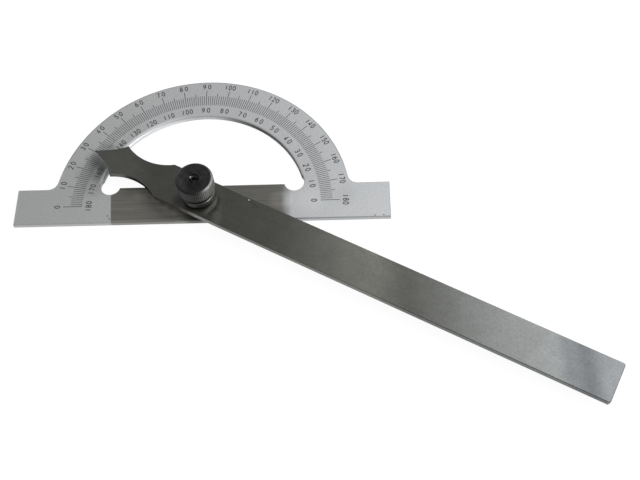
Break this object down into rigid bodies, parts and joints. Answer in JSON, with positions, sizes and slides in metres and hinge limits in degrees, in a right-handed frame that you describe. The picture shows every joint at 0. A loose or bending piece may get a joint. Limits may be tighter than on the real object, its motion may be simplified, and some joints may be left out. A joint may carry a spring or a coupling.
{
  "type": "bevel protractor",
  "caption": "Flat steel protractor: a half-ring plate on a straight base bar, and a long pointer blade that swings over it and is clamped by a knurled nut.",
  "frame": {"origin": "pivot axis at the plate's underside, which is the face the tool lies on", "axes": "+X along the base bar, towards 180 on the outer scale; +Y from the bar to the top of the arc; +Z from the plate up to the clamp nut"},
  "size_m": [0.2298, 0.1474, 0.0211],
  "materials": {
    "satin_plate": "satin chrome, with a ground band on the bar",
    "ground_steel": "ground lengthwise, bright",
    "plain_steel": "turned, head ground flush",
    "black_steel": "blackened, satin",
    "spring_steel": "dark spring steel"
  },
  "bodies": {
    "plate": {"protractor_plate": "satin_plate", "pivot_stud": "plain_steel", "spacer_ring": "black_steel"},
    "blade": {"blade": "ground_steel", "spring_washer": "spring_steel"},
    "washer": {"thrust_washer": "black_steel"},
    "nut": {"clamp_nut": "black_steel"}
  },
  "joints": [
    {"name": "blade_swing", "type": "hinge", "parent": "plate", "child": "blade", "pos_m": [0, 0, 0.0057], "axis": [0, 0, 1], "continuous": true},
    {"name": "washer_lift", "type": "slide", "parent": "plate", "child": "washer", "axis": [0, 0, 1], "range_m": [0, 0.0008]},
    {"name": "nut_turn", "type": "hinge", "parent": "washer", "child": "nut", "pos_m": [0, 0, 0.0122], "axis": [0, 0, 1], "range_deg": [0, 360]}
  ],
  "couplings": [
    {"joint": "washer_lift", "follows": "nut_turn", "m_per_rad": 0.00012732}
  ]
}
